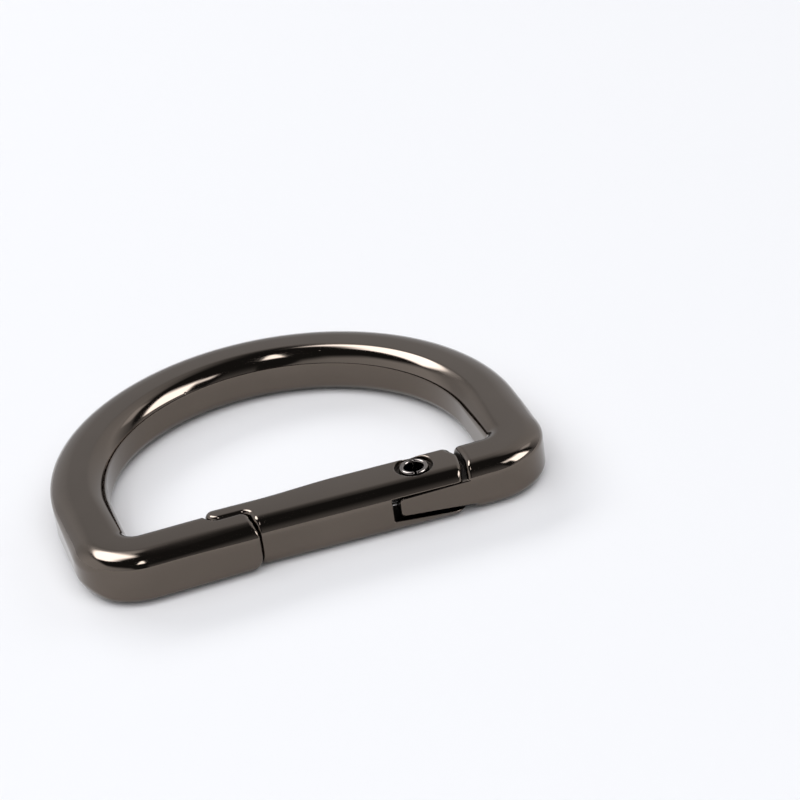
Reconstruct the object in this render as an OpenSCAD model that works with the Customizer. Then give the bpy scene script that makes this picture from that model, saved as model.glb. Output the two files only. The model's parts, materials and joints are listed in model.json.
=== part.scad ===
// Spring snap hook: an openable D-ring whose straight side is a sprung gate.
// It lies flat. X runs along the gate, Y from the gate to the arc, Z is up.

/* [Ring] */
// Clear width inside the ring
inner_w = 25; // [18:0.5:40]
// Height of the straight sides above the inner edge of the bar
leg_h = 5.5; // [3:0.1:10]
// Width of the cast bar, seen from above
bar_w = 3.8; // [3.2:0.1:5]
// Thickness of the ring, from the underside to the top
thick = 3.6; // [3.4:0.1:4.4]
// Rounding of the outer edges
edge_out = 1.05; // [0.8:0.05:1.2]
// Rounding of the inner edges
edge_in = 1.0; // [0.6:0.05:1.2]
// Radius of the two inner corners
corner_in = 0.65; // [0.4:0.05:1.5]

/* [Gate] */
// Width of the gate, seen from above
gate_w = 3.65; // [3.2:0.05:3.8]
// Rounding of the gate's inner edges
gate_edge_in = 0.65; // [0.3:0.05:0.9]
// Where the gate meets the nose on the outer face, left of the middle
seam_x = 4.5; // [3.5:0.05:5.5]
// Length of the lip that lies behind the nose, measured from the seam
lip_l = 2.9; // [2:0.05:3.2]
// Thickness of the lip
lip_w = 1.7; // [1.5:0.05:2.2]
// Rounding of the lip's tip, seen from above
lip_round = 0.8; // [0.4:0.05:1]
// Angle that the closed gate stands inward from the line of the bar
gate_rest = 2.2; // [1.8:0.1:2.6]
// Free gap along the seam
seam_gap = 0.12; // [0.08:0.01:0.2]
// Rounding of the nose's tip beside the lip, seen from above
nose_round = 0.55; // [0.3:0.05:0.7]
// Radius of the gate's hollow corner between the lip and the seam
lip_fillet = 0.45; // [0.2:0.05:0.6]

/* [Hinge] */
// Distance of the hinge pin from the middle of the ring
pin_x = 6.7; // [6:0.1:7]
// Depth of the hinge pin's axis below the inner edge of the bar
pin_y = 1.55; // [1.5:0.05:1.7]
// Outside diameter of the hollow pin
pin_d = 1.96; // [1.8:0.02:2.1]
// Bore of the hollow pin
pin_bore_d = 1.3; // [1:0.05:1.4]
// Width of the slit along the hollow pin
pin_slit = 0.16; // [0.1:0.02:0.3]
// Radial clearance of the pin in the tongue
running_gap = 0.04; // [0.02:0.01:0.08]
// Radial clearance of the pin in the gate
seat_gap = 0.015; // [0.01:0.005:0.03]
// Diameter of the sink round each end of the pin
sink_d = 2.56; // [2.3:0.02:2.7]
// Depth of the sink
sink_h = 0.35; // [0.1:0.05:0.4]
// Thickness of the frame's tongue between the gate's cheeks
tongue_t = 1.5; // [1.4:0.05:1.6]
// Height of the tongue's middle above the middle of the ring
tongue_z = 0.13; // [0:0.01:0.14]
// Slant of the tongue's underside, which makes it thicker towards its root
tongue_slant = 6.6; // [0:0.2:8]
// Rounding of the tongue's two free corners on the outer face
tongue_round = 0.3; // [0.2:0.05:0.5]
// Radius of the tongue's round barrel
barrel_r = 1.75; // [1.6:0.05:1.8]
// Width of the slot between the gate's cheeks
slot_t = 1.9; // [1.8:0.05:2]
// Depth of the slot's end wall left of the pin
slot_back = 2.22; // [2.1:0.02:2.5]
// Radius of the gate's curved heel
heel_r = 6; // [5:0.5:8]
// Reach of the heel beyond the pin
heel_x = 3; // [2.9:0.05:3.1]
// Rounding of the heel's inner corner, seen from above
heel_round = 0.8; // [0.5:0.05:1]
// Free gap between the heel and the frame's shoulder
heel_gap = 0.3; // [0.25:0.01:0.45]

/* [Spring] */
// Diameter of the spring wire
wire_d = 0.25; // [0.2:0.01:0.3]
// Radius of the coil to the middle of the wire
coil_r = 1.3; // [1.25:0.01:1.35]
// Whole turns of the coil
turns = 2; // [1:1:2]
// Rise of the coil in one turn
pitch = 0.27; // [0.26:0.01:0.3]

/* [Hidden] */
$fn = 96;

half_w = inner_w / 2;
ring_depth = leg_h + half_w + 2 * bar_w;
bar_inner_y = bar_w - ring_depth / 2;
run_out = 1;
nose_reach = norm([pin_x + seam_x, bar_w - pin_y]);
lip_swing = (pin_x + seam_x) * sin(gate_rest);
lip_seat_y = round(1000 * (gate_w - bar_w - lip_w + lip_swing - 0.06)) / 1000;
lip_tip_x = -(seam_x + lip_l);
heel_cx = pin_x + heel_x - heel_r;
lug_x = pin_x - barrel_r - 0.05;
tongue_top = tongue_z + tongue_t / 2;
tongue_low = tongue_z - tongue_t / 2;
root_x = pin_x + barrel_r + 0.15;
spring_floor = -0.05;
leg_y = -pin_y - coil_r;
skin_y = leg_y - wire_d / 2 - 0.055;
leg_low_z = spring_floor + wire_d / 2 + 0.025;
leg_hole_r = 0.2;
leg_seat = 0.6;
wire_sides = 8;
turn_steps = 24;

// Cross-section of a bar, from its inner edge outward, with four round edges
module bar_section(inner, width, round_in, round_out) {
    half_t = thick / 2;
    flat_in = inner + round_in;
    flat_out = inner + width - round_out;
    translate([flat_in, -half_t])
        square([flat_out - flat_in, thick]);
    translate([inner, round_in - half_t])
        square([round_in, thick - 2 * round_in]);
    translate([flat_out, round_out - half_t])
        square([round_out, thick - 2 * round_out]);
    for (side = [-1, 1]) {
        translate([flat_in, side * (half_t - round_in)]) circle(round_in);
        translate([flat_out, side * (half_t - round_out)]) circle(round_out);
    }
}

// The frame's own section, at a distance from the axis it bends round
module ring_section(inner) {
    bar_section(inner, bar_w, edge_in, edge_out);
}

// Lays a section along X between two places, with its outer side towards -Y
module along_x(x_from, x_to) {
    translate([x_to, 0, 0])
        rotate([0, 0, -90])
            rotate([90, 0, 0])
                linear_extrude(x_to - x_from) children();
}

// Turns a child about the hinge axis
module about_pin(angle) {
    translate([pin_x, -pin_y, 0])
        rotate([0, 0, angle])
            translate([-pin_x, pin_y, 0]) children();
}

// An upright prism through the whole thickness, drawn in plan
module through_cut() {
    translate([0, 0, -thick]) linear_extrude(2 * thick) children();
}

module arc() {
    translate([0, leg_h, 0])
        rotate_extrude(angle = 180) ring_section(half_w);
}

module leg_and_corner() {
    translate([0, leg_h, 0])
        rotate([90, 0, 0])
            linear_extrude(leg_h - corner_in) ring_section(half_w);
    translate([half_w - corner_in, corner_in, 0])
        rotate([0, 0, -90])
            rotate_extrude(angle = 90) ring_section(corner_in);
}

// Room for the gate's lip behind the nose, with its rounded far corner
module lip_room() {
    x = lip_tip_x - seam_gap;
    r = lip_round + seam_gap;
    translate([x + r, lip_seat_y]) square([lip_l, bar_w]);
    translate([x, lip_seat_y + r]) square([lip_l, bar_w]);
    translate([x + r, lip_seat_y + r]) circle(r);
}

// Plan of what lies between a corner and its round. The corner is where a straight edge
// along X meets an arc about the hinge pin.
module corner_web(reach, edge_y, r) {
    drop = r - edge_y - pin_y;
    back = sqrt(pow(reach + r, 2) - drop * drop);
    side = 2 * r / (reach + r);
    translate([pin_x - back, -pin_y - drop])
        difference() {
            polygon([[0, 0], [side * back, side * drop], [2 * r, 2 * r], [0, 2 * r]]);
            circle(r);
        }
}

// The fixed end of the bar that the gate closes on
module nose() {
    difference() {
        along_x(-(half_w - corner_in), -(seam_x - run_out)) ring_section(0);
        through_cut() translate([pin_x, -pin_y]) circle(nose_reach + seam_gap);
        through_cut() lip_room();
        through_cut() corner_web(nose_reach + seam_gap, lip_seat_y, nose_round);
    }
}

// All that lies below a plane with the tongue's slant, at a height on the pin's axis
module below_slant(z) {
    translate([pin_x, 0, z])
        rotate([0, tongue_slant, 0])
            translate([-2 * bar_w, -2 * bar_w, -2 * thick])
                cube([4 * bar_w, 4 * bar_w, 2 * thick]);
}

// Room for one cheek of the gate beside the tongue, up to the shoulder
module cheek_room() {
    translate([heel_cx, -pin_y, 0])
        cylinder(r = heel_r + heel_gap, h = thick);
}

// What is cut off at a free corner of the tongue, seen from the front. The corner is at the
// origin, with its edges going up and to the right, the latter with a slant down.
module tongue_corner(slant) {
    r = tongue_round;
    middle = [r, r / cos(slant) - r * tan(slant)];
    down = [-sin(slant), -cos(slant)];
    foot = middle + r * down;
    far = -run_out;
    rotate([90, 0, 0])
        linear_extrude(bar_w + run_out)
            difference() {
                polygon([middle, [far, middle[1]], [far, far], foot + run_out * down, foot]);
                translate(middle) circle(r);
            }
}

// The shoulder with the tongue that carries the hinge
module hinge_end() {
    difference() {
        union() {
            difference() {
                along_x(lug_x, half_w - corner_in) ring_section(0);
                translate([0, 0, tongue_top]) cheek_room();
                through_cut()
                    translate([lug_x - run_out, -pin_y])
                        square([root_x - lug_x + run_out, bar_w]);
                translate([lug_x, 0, tongue_top]) mirror([0, 0, 1]) tongue_corner(0);
            }
            translate([pin_x, -pin_y, -thick / 4])
                cylinder(r = barrel_r, h = thick / 4 + tongue_top);
        }
        intersection() {
            mirror([0, 0, 1]) cheek_room();
            below_slant(tongue_low);
        }
        translate([lug_x, 0, tongue_low + (pin_x - lug_x) * tan(tongue_slant)])
            tongue_corner(tongue_slant);
        translate([lug_x - run_out, skin_y, spring_floor])
            cube([root_x - lug_x + run_out, bar_w, thick]);
        translate([pin_x, -pin_y, -thick])
            cylinder(d = pin_d + 2 * running_gap, h = 2 * thick);
    }
}

module frame() {
    color([0.36, 0.33, 0.32]) {
        arc();
        leg_and_corner();
        mirror([1, 0, 0]) leg_and_corner();
        nose();
        hinge_end();
    }
}

// Plan of what is cut off outside the lip at the gate's free end
module free_end_cut() {
    lip_floor_y = -bar_w + gate_w - lip_w;
    difference() {
        translate([lip_tip_x - run_out, -bar_w - run_out])
            square([lip_l + 2 * run_out, lip_floor_y + bar_w + run_out]);
        translate([pin_x, -pin_y]) circle(nose_reach);
        corner_web(nose_reach, lip_floor_y, lip_fillet);
    }
    difference() {
        translate([lip_tip_x - run_out, lip_floor_y - run_out])
            square([lip_round + run_out, lip_round + run_out]);
        translate([lip_tip_x + lip_round, lip_floor_y + lip_round]) circle(lip_round);
    }
}

// Plan of what is cut off behind the gate's curved heel
module heel_cut() {
    corner_y = gate_w - bar_w - heel_round;
    corner_x = heel_cx + sqrt(pow(heel_r - heel_round, 2) - pow(corner_y + pin_y, 2));
    difference() {
        translate([pin_x, -bar_w - run_out])
            square([heel_x + 2 * run_out, bar_w + 2 * run_out]);
        translate([heel_cx, -pin_y]) circle(heel_r);
    }
    difference() {
        translate([corner_x, corner_y]) square(heel_round + run_out);
        translate([corner_x, corner_y]) circle(heel_round);
    }
}

// The fork's slot, its two pin holes and their sinks
module fork_cut() {
    difference() {
        translate([pin_x - slot_back, -bar_w - run_out, -thick / 2])
            cube([slot_back + heel_x + run_out, bar_w + 2 * run_out, (thick + slot_t) / 2]);
        below_slant(-slot_t / 2);
    }
    translate([pin_x, -pin_y, -thick])
        cylinder(d = pin_d + 2 * seat_gap, h = 2 * thick);
    for (side = [0, 1])
        mirror([0, 0, side])
            translate([pin_x, -pin_y, thick / 2 - sink_h])
                cylinder(d = sink_d, h = thick);
}

module gate() {
    color([0.38, 0.35, 0.33])
        difference() {
            about_pin(-gate_rest)
                difference() {
                    along_x(lip_tip_x, pin_x + heel_x)
                        bar_section(bar_w - gate_w, gate_w, gate_edge_in, edge_out);
                    through_cut() free_end_cut();
                    through_cut() heel_cut();
                    fork_cut();
                }
            translate([pin_x - slot_back - leg_seat - wire_d, leg_y, leg_low_z])
                rotate([0, 90, 0])
                    cylinder(r = leg_hole_r, h = slot_back);
        }
}

module hinge_pin() {
    pin_l = thick - 0.04;
    color([0.62, 0.6, 0.58])
        translate([pin_x, -pin_y, -pin_l / 2])
            difference() {
                cylinder(d = pin_d, h = pin_l);
                translate([0, 0, -run_out])
                    cylinder(d = pin_bore_d, h = pin_l + 2 * run_out);
                rotate([0, 0, -100])
                    translate([0, -pin_slit / 2, -run_out])
                        cube([pin_d, pin_slit, pin_l + 2 * run_out]);
            }
}

// Middle line of the spring: a leg in the gate, the coil, a leg on the tongue.
// Each row is the place X, Y, Z and the angle of the outward direction.
function coil_row(k) =
    let (a = -90 + 360 * k / turn_steps)
    [
        pin_x + coil_r * cos(a),
        -pin_y + coil_r * sin(a),
        leg_low_z + pitch * k / turn_steps,
        a
    ];
function spring_rows() = concat(
    [[pin_x - slot_back - leg_seat, leg_y, leg_low_z, -90]],
    [for (k = [0 : turns * turn_steps]) coil_row(k)],
    [[root_x - 0.1, leg_y, leg_low_z + turns * pitch, -90]]
);
function wire_point(row, j) =
    let (b = 360 * j / wire_sides, r = wire_d / 2)
    [
        row[0] + r * cos(b) * cos(row[3]),
        row[1] + r * cos(b) * sin(row[3]),
        row[2] + r * sin(b)
    ];

module gate_spring() {
    rows = spring_rows();
    n = len(rows);
    m = wire_sides;
    points = [for (row = rows) for (j = [0 : m - 1]) wire_point(row, j)];
    walls = [
        for (i = [0 : n - 2]) for (j = [0 : m - 1])
            let (a = i * m + j, b = i * m + (j + 1) % m)
            each [[a, b, b + m], [a, b + m, a + m]]
    ];
    start_cap = [for (j = [0 : m - 1]) m - 1 - j];
    end_cap = [for (j = [0 : m - 1]) (n - 1) * m + j];
    color([0.7, 0.7, 0.7])
        polyhedron(points, concat(walls, [start_cap, end_cap]));
}

// Stands the pieces on the ground, with the ring's middle over the origin
module placed() {
    translate([0, bar_inner_y, thick / 2]) children();
}

placed() frame();
placed() gate();
placed() hinge_pin();
placed() gate_spring();
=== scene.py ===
"""A spring snap hook: a cast D-ring with a sprung gate, in polished gunmetal plating.

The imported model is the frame. Each of its pieces is replaced by a finer skin of the same
form, found on a lattice from the distance to the piece's surface. Shapes are worked out
in millimetres and become metres when their meshes are made.
"""

import json
import logging
import math
from abc import ABC, abstractmethod
from dataclasses import dataclass, replace
from enum import Enum
from typing import Callable, ClassVar, NamedTuple

import bpy
import numpy as np
from mathutils import Matrix, Vector


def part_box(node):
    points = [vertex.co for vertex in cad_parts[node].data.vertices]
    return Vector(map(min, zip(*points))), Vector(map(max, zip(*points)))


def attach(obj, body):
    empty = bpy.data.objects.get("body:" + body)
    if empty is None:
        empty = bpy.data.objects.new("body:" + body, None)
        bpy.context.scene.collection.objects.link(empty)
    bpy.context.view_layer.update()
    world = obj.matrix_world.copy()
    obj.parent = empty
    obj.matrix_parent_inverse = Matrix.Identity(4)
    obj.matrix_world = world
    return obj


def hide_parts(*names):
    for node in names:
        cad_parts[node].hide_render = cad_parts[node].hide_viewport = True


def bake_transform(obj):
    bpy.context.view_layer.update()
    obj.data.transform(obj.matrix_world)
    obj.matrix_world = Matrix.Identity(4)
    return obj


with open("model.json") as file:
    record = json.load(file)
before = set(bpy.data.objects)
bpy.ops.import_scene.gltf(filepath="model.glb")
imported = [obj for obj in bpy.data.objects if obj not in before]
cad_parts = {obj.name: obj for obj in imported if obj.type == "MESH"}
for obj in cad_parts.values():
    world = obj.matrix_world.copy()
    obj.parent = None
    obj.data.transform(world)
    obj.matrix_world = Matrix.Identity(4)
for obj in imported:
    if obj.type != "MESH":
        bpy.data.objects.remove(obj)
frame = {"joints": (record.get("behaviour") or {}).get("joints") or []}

Array = np.ndarray
Field = Callable[[Array], Array]
Colour = tuple[float, float, float]
Socket = bpy.types.NodeSocket

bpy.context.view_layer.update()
MM = 0.001
# The mesh attribute that says how deep a point lies below its casting's outer form. The plating's
# colour is darkened by it as painted shade, and its gloss is dulled.
RECESS = "recess"

log = logging.getLogger("snap_hook")


class Body(Enum):
    """The two bodies that the hinge joins."""

    FRAME = "frame"
    GATE = "gate"


class Slot(Enum):
    """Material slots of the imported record."""

    PLATING = "gunmetal_plating"
    PIN = "pin_steel"
    SPRING = "spring_steel"


class Place(NamedTuple):
    """Places against the bar: along it, above its inner edge, and above mid-thickness."""

    x: Array
    y: Array
    z: Array


class Run(NamedTuple):
    """A stretch of a lattice line with evenly spaced places."""

    start: float
    end: float
    step: float


Runs = tuple[Run, ...]


def ticks(*runs: Run) -> Array:
    """Places along a line, evenly spaced within each run. A run starts where the last ended."""
    parts = [np.linspace(a, b, max(1, round(abs(b - a) / step)) + 1)[:-1] for a, b, step in runs]
    return np.append(np.concatenate(parts), runs[-1].end)


@dataclass(frozen=True)
class Span:
    """A stretch over which something changes smoothly."""

    start: float
    end: float

    def share(self, x: Array) -> Array:
        """A smooth step of x, from 0 at the start to 1 at the end."""
        t = np.clip((x - self.start) / (self.end - self.start), 0, 1)
        return t * t * (3 - 2 * t)

    def between(self, first: float, last: float, x: Array) -> Array:
        """A value that goes from first to last as x passes over the stretch."""
        return first + (last - first) * self.share(x)


def meet(a: Array, b: Array, r: Array | float) -> Array:
    """Distance to what lies inside both shapes, with a rounded edge of radius r between them."""
    flat = np.minimum(np.maximum(a, b), -r)
    return flat + np.hypot(np.maximum(a + r, 0), np.maximum(b + r, 0))


def join(a: Array, b: Array, r: Array | float) -> Array:
    """Distance to what lies inside either shape, with a filled corner of radius r between them."""
    return -meet(-a, -b, r)


@dataclass(frozen=True)
class Edge:
    """The rounding along an edge: how far it reaches on each side, and how full it is.

    A power of 2 gives an ellipse, and a higher one leaves the flat sides more slowly.
    """

    across: Array | float
    down: Array | float
    power: Array | float = 2.0
    tiny: ClassVar[float] = 1e-6
    least_slope: ClassVar[float] = 0.3

    def meet(self, a: Array, b: Array) -> Array:
        """Distance to what lies inside both flat sides, with this edge between them.

        Args:
            a: distance to the side that the edge reaches across.
            b: distance to the side that the edge reaches down.

        Returns:
            The distance to the shared part.
        """
        u = np.maximum(a + self.across, 0) / self.across
        v = np.maximum(b + self.down, 0) / self.down
        size = np.maximum((u**self.power + v**self.power) ** (1 / self.power), self.tiny)
        steep = self.power - 1
        slope = np.hypot((u / size) ** steep / self.across, (v / size) ** steep / self.down)
        return (size - 1) / np.maximum(slope, self.least_slope)

    def toward(self, other: "Edge", share: Array) -> "Edge":
        """This edge, changed by a share of its difference from another one."""
        return Edge(
            self.across + (other.across - self.across) * share,
            self.down + (other.down - self.down) * share,
            self.power + (other.power - self.power) * share,
        )

    @staticmethod
    def either(first: Array, a: "Edge", b: "Edge") -> "Edge":
        """Edge a where first holds, and edge b elsewhere."""
        return Edge(
            np.where(first, a.across, b.across),
            np.where(first, a.down, b.down),
            np.where(first, a.power, b.power),
        )


@dataclass
class Skin:
    """A closed surface of four-sided faces, with the surface's own direction at each point."""

    points: Array
    quads: Array
    normals: Array

    def mesh(self, name: str) -> bpy.types.Mesh:
        """Makes a smooth mesh in metres, shaded by the surface's own directions.

        Args:
            name: the mesh's name.

        Returns:
            The mesh.
        """
        mesh = bpy.data.meshes.new(name)
        mesh.vertices.add(len(self.points))
        mesh.vertices.foreach_set("co", (self.points * MM).ravel())
        mesh.loops.add(self.quads.size)
        mesh.loops.foreach_set("vertex_index", self.quads.ravel())
        mesh.polygons.add(len(self.quads))
        mesh.polygons.foreach_set("loop_start", np.arange(len(self.quads)) * 4)
        mesh.update(calc_edges=True)
        mesh.validate()
        mesh.shade_smooth()
        mesh.normals_split_custom_set_from_vertices(self.normals)
        return mesh


@dataclass
class SkinFinder:
    """Finds the surface of a shape on a lattice of points.

    The lattice's own lines follow the shape, so that its cells are small where the shape
    has fine edges. Each cell that the surface crosses gets one point, which then moves
    onto the surface and is spread evenly along it.
    """

    shape: Field
    nodes: Array
    probe: float = 0.0002
    least_slope: float = 0.05
    first_rounds: int = 5
    later_rounds: int = 2
    spread_rounds: int = 4
    pull: float = 0.5

    def slope(self, points: Array) -> Array:
        """Works out how fast, and which way, the shape's distance grows.

        Args:
            points: the points.

        Returns:
            The slope at each point, along x, y and z.
        """
        steps = self.probe * np.eye(3)
        along = [self.shape(points + step) - self.shape(points - step) for step in steps]
        return np.stack(along, -1) / (2 * self.probe)

    def settle(self, points: Array, rounds: int) -> Array:
        """Moves points onto the surface.

        Args:
            points: the points.
            rounds: how many times they move.

        Returns:
            The points in their new places.
        """
        for _ in range(rounds):
            way = self.slope(points)
            size = np.maximum((way**2).sum(-1), self.least_slope)
            points = points - (self.shape(points) / size)[:, None] * way
        return points

    def crossings(self, value: Array) -> tuple[Array, Array]:
        """Sums up where the surface crosses the edges of each cell.

        Args:
            value: the shape's distance at each lattice point.

        Returns:
            The sum of the crossing points of each cell, and how many they are.
        """
        inside = value < 0
        cells = tuple(n - 1 for n in inside.shape)
        total, count = np.zeros((*cells, 3)), np.zeros(cells, int)
        for axis in range(3):
            low = tuple(slice(None, -1) if k == axis else slice(None) for k in range(3))
            high = tuple(slice(1, None) if k == axis else slice(None) for k in range(3))
            crossed = inside[low] != inside[high]
            gap = np.where(crossed, value[low] - value[high], 1)
            share = np.where(crossed, value[low] / gap, 0)[..., None]
            start = self.nodes[low]
            place = (start + share * (self.nodes[high] - start)) * crossed[..., None]
            p, q = (k for k in range(3) if k != axis)
            for a in (0, 1):
                for b in (0, 1):
                    part = [slice(None)] * 3
                    part[p] = slice(a, a + cells[p])
                    part[q] = slice(b, b + cells[q])
                    total += place[tuple(part)]
                    count += crossed[tuple(part)]
        return total, count

    def faces(self, inside: Array, number: Array) -> Array:
        """Joins the points of the four cells round each crossed lattice edge.

        Args:
            inside: whether each lattice point lies inside the shape.
            number: each cell's point number.

        Returns:
            Four point numbers for each face.
        """
        quads = []
        for axis in range(3):
            p, q = (axis + 1) % 3, (axis + 2) % 3
            low = tuple(slice(None, -1) if k == axis else slice(1, -1) for k in range(3))
            high = tuple(slice(1, None) if k == axis else slice(1, -1) for k in range(3))
            where = np.argwhere(inside[low] != inside[high])
            ring = []
            for dp, dq in ((0, 0), (1, 0), (1, 1), (0, 1)):
                cell = where.copy()
                cell[:, p] += dp
                cell[:, q] += dq
                ring.append(number[tuple(cell.T)])
            ring = np.stack(ring, 1)
            turned = ~inside[low][tuple(where.T)]
            ring[turned] = ring[turned][:, ::-1]
            quads.append(ring)
        return np.concatenate(quads)

    def spread(self, points: Array, quads: Array) -> Array:
        """Evens out the points along the surface.

        Args:
            points: the points, on the surface.
            quads: four point numbers for each face.

        Returns:
            The points in their new places.
        """
        a, b = np.concatenate([quads[:, [k, (k + 1) % 4]] for k in range(4)]).T
        size = len(points)
        degree = np.bincount(a, minlength=size) + np.bincount(b, minlength=size)
        for _ in range(self.spread_rounds):
            total = [
                np.bincount(a, along[b], size) + np.bincount(b, along[a], size)
                for along in points.T
            ]
            middle = np.stack(total, 1) / degree[:, None]
            points = self.settle(points + self.pull * (middle - points), self.later_rounds)
        return self.settle(points, self.later_rounds)

    def skin(self) -> Skin:
        """Works out the closed surface.

        Returns:
            The surface, with its faces turned outward.
        """
        value = self.shape(self.nodes)
        total, count = self.crossings(value)
        used = count > 0
        number = np.full(count.shape, -1)
        number[used] = np.arange(used.sum())
        quads = self.faces(value < 0, number)
        points = self.settle(total[used] / count[used][:, None], self.first_rounds)
        points = self.spread(points, quads)
        normals = self.slope(points)
        normals /= np.linalg.norm(normals, axis=1)[:, None]
        a, b, c, d = (points[quads[:, k]] for k in range(4))
        if (np.cross(c - a, d - b) * normals[quads[:, 0]]).sum() < 0:
            quads = quads[:, ::-1]
        return Skin(points, np.ascontiguousarray(quads), normals)


@dataclass(frozen=True)
class HookSizes:
    """Sizes that the pieces share, in millimetres.

    The places of the hinge and of the ring come from the frame. What the frame's boxes
    don't give is named here, as the part's source has it.
    """

    # From the frame: the pin, the room inside the ring, the bar's inner edge, the thickness.
    pin_x: float
    pin_y: float
    half_w: float
    leg_h: float
    bar_y: float
    half_t: float
    # The sections of the bar and of the gate.
    bar_w: float = 3.8
    gate_w: float = 3.65
    corner_in: float = 0.65
    crown_r: float = 40.0
    # The seam, the lip beyond it, and how far the gate leans on the nose.
    seam_x: float = 4.5
    seam_gap: float = 0.12
    lip_l: float = 2.9
    lip_w: float = 1.7
    lip_round: float = 0.8
    lip_clear: float = 0.06
    gate_rest: float = math.radians(2.2)
    # The pin's fits, the gate's slot for the tongue, and the gate's round heel.
    pin_d: float = 1.96
    running_gap: float = 0.04
    seat_gap: float = 0.015
    slot_t: float = 1.9
    slot_back: float = 2.22
    slant: float = math.tan(math.radians(6.6))
    heel_r: float = 6.0
    heel_x: float = 3.0
    heel_gap: float = 0.3
    # The spring's coil and wire, and the height of its lower leg.
    coil_r: float = 1.3
    wire_d: float = 0.25
    wire_low_z: float = 0.1

    @classmethod
    def from_frame(cls) -> "HookSizes":
        """Reads the hinge's place and the ring's box from the frame.

        Returns:
            The sizes.
        """
        low, high = (np.array(corner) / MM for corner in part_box("frame"))
        pin = np.array(frame["joints"][0]["pos_m"]) / MM
        half_w = (high - low)[0] / 2 - cls.bar_w
        return cls(
            pin_x=float(pin[0]),
            pin_y=float(pin[1]),
            half_w=float(half_w),
            leg_h=float((high - low)[1] - 2 * cls.bar_w - half_w),
            bar_y=float(low[1]) + cls.bar_w,
            half_t=float((high - low)[2]) / 2,
        )

    @property
    def pin_depth(self) -> float:
        """Depth of the pin's axis below the bar's inner edge."""
        return self.bar_y - self.pin_y

    @property
    def nose_reach(self) -> float:
        """Radius of the seam about the pin."""
        return math.hypot(self.pin_x + self.seam_x, self.bar_w - self.pin_depth)

    @property
    def lip_seat(self) -> float:
        """Height of the nose's seat for the lip, from the bar's inner edge."""
        swing = (self.pin_x + self.seam_x) * math.sin(self.gate_rest)
        return round(self.gate_w - self.bar_w - self.lip_w + swing - self.lip_clear, 3)

    @property
    def heel_cx(self) -> float:
        """Middle of the heel's curve."""
        return self.pin_x + self.heel_x - self.heel_r

    def local(self, points: Array) -> Place:
        """Where points lie against the bar."""
        return Place(points[..., 0], points[..., 1] - self.bar_y, points[..., 2] - self.half_t)

    def layers(self, runs: Runs) -> Array:
        """Heights of a lattice's layers, which are the same above and below the middle."""
        half = ticks(*runs)
        return self.half_t + np.concatenate([-half[:0:-1], half])

    def from_pin(self, at: Place) -> Array:
        """Distance from the pin's axis."""
        return np.hypot(at.x - self.pin_x, at.y + self.pin_depth)

    def heel(self, at: Place) -> Array:
        """Distance to the round of the gate's heel, negative inside."""
        return np.hypot(np.maximum(at.x - self.heel_cx, 0), at.y + self.pin_depth) - self.heel_r

    def section(self, depth: Array, z: Array, width: float, inner: Edge, outer: Edge) -> Array:
        """Distance to a bar's cross-section with four rounded edges.

        Args:
            depth: depth into the bar from its inner side.
            z: height from the middle of the thickness.
            width: the bar's width.
            inner: the two inner edges.
            outer: the two outer edges.

        Returns:
            The distance, negative inside.
        """
        across = depth - width / 2
        edge = Edge.either(across > 0, outer, inner)
        crown = across**2 / (2 * self.crown_r)
        return edge.meet(np.abs(across) - width / 2, np.abs(z) - self.half_t + crown)


def show(name: str, data: bpy.types.ID) -> bpy.types.Object:
    """Puts an object into the scene.

    Args:
        name: the object's name.
        data: its mesh, light or camera.

    Returns:
        The object.
    """
    thing = bpy.data.objects.new(name, data)
    bpy.context.scene.collection.objects.link(thing)
    return thing


@dataclass
class Piece(ABC):
    """One visible piece, which stands for one node of the frame."""

    sizes: HookSizes
    name: ClassVar[str]
    node: ClassVar[str]
    slot: ClassVar[Slot]

    @abstractmethod
    def mesh(self) -> bpy.types.Mesh:
        """Makes the piece's mesh, in metres."""

    @abstractmethod
    def hold(self, piece: bpy.types.Object) -> None:
        """Fixes the piece to what it moves with."""

    def build(self, material: bpy.types.Material) -> None:
        """Makes the piece, dresses it and puts it in the node's stead.

        Args:
            material: the finish that it takes.
        """
        mesh = self.mesh()
        mesh.materials.append(material)
        piece = show(self.name, mesh)
        self.hold(piece)
        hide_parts(self.node)
        triangles = sum(len(p.vertices) - 2 for p in mesh.polygons)
        log.info("%s replaces %s: %d triangles", self.name, self.node, triangles)


@dataclass
class CastPiece(Piece):
    """A solid piece, given by the distance to its surface."""

    body: ClassVar[Body]

    @abstractmethod
    def distance(self, points: Array) -> Array:
        """Distance of each point from the piece's surface, negative inside."""

    @abstractmethod
    def lattice(self) -> Array:
        """Lattice points round the piece, in three directions."""

    def buried(self, points: Array) -> Array:
        """How deep points lie below the piece's outer form, from 0 outside to 1."""
        return np.zeros(len(points))

    def mesh(self) -> bpy.types.Mesh:
        """Finds the piece's skin and makes its mesh, with how deep each point is buried.

        Returns:
            The mesh.
        """
        skin = SkinFinder(self.distance, self.lattice()).skin()
        mesh = skin.mesh(self.name)
        recess = mesh.attributes.new(RECESS, "FLOAT", "POINT")
        recess.data.foreach_set("value", self.buried(skin.points))
        return mesh

    def hold(self, piece: bpy.types.Object) -> None:
        """Rides on the piece's body."""
        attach(piece, self.body.value)


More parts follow.
